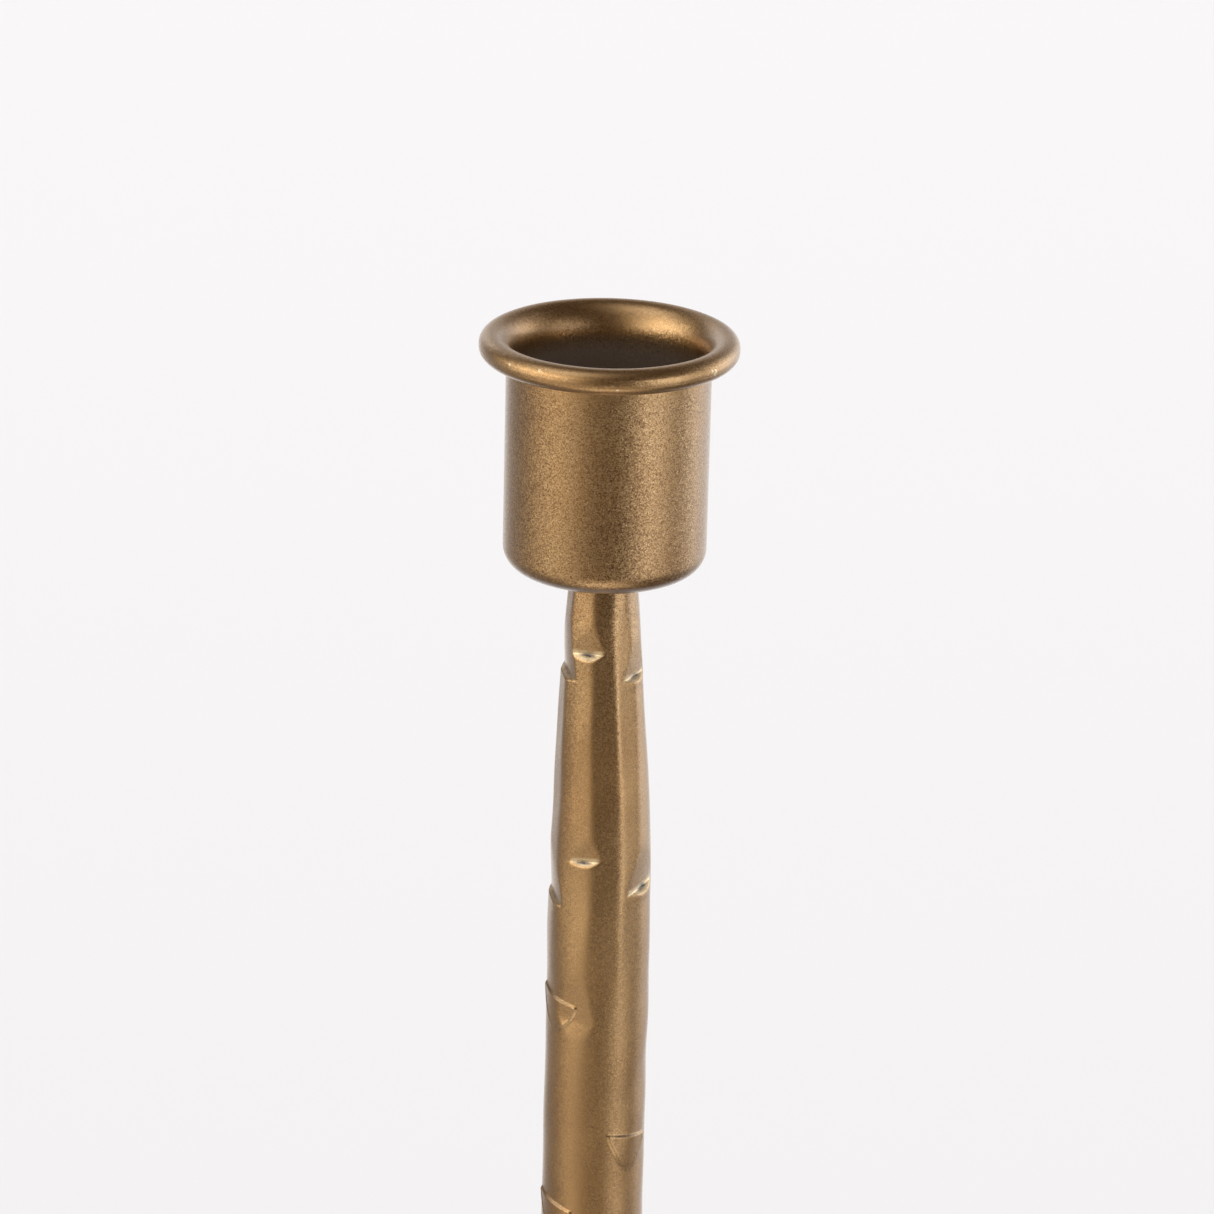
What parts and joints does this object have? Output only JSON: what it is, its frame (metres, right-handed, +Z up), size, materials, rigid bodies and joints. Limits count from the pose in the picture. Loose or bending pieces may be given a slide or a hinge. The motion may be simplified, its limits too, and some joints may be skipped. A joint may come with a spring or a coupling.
{
  "type": "altar candlestick",
  "caption": "Tall slender taper candlestick: rolled-rim candle cup on a forged, chisel-notched round stem, screwed to a low round base with a felt pad.",
  "frame": {"origin": "centre of the felt pad's underside, where the candlestick stands", "axes": "+Z up along the stem's axis to the candle cup; -Y is the front, towards the viewer"},
  "size_m": [0.11, 0.11, 0.3],
  "materials": {
    "antique_brass_finish": "satin antique brass lacquer over steel, golden brown with a fine sparkle, worn bright on the ledges",
    "zinc_plated_steel": "bright zinc plate",
    "dark_felt": "pressed wool felt"
  },
  "bodies": {
    "root": {"candle_cup": "antique_brass_finish", "stem": "antique_brass_finish", "base": "antique_brass_finish", "cup_screw": "zinc_plated_steel", "cup_spring_washer": "zinc_plated_steel", "cup_flat_washer": "zinc_plated_steel", "base_screw": "zinc_plated_steel", "base_spring_washer": "zinc_plated_steel", "base_flat_washer": "zinc_plated_steel", "felt_pad": "dark_felt"}
  },
  "joints": []
}
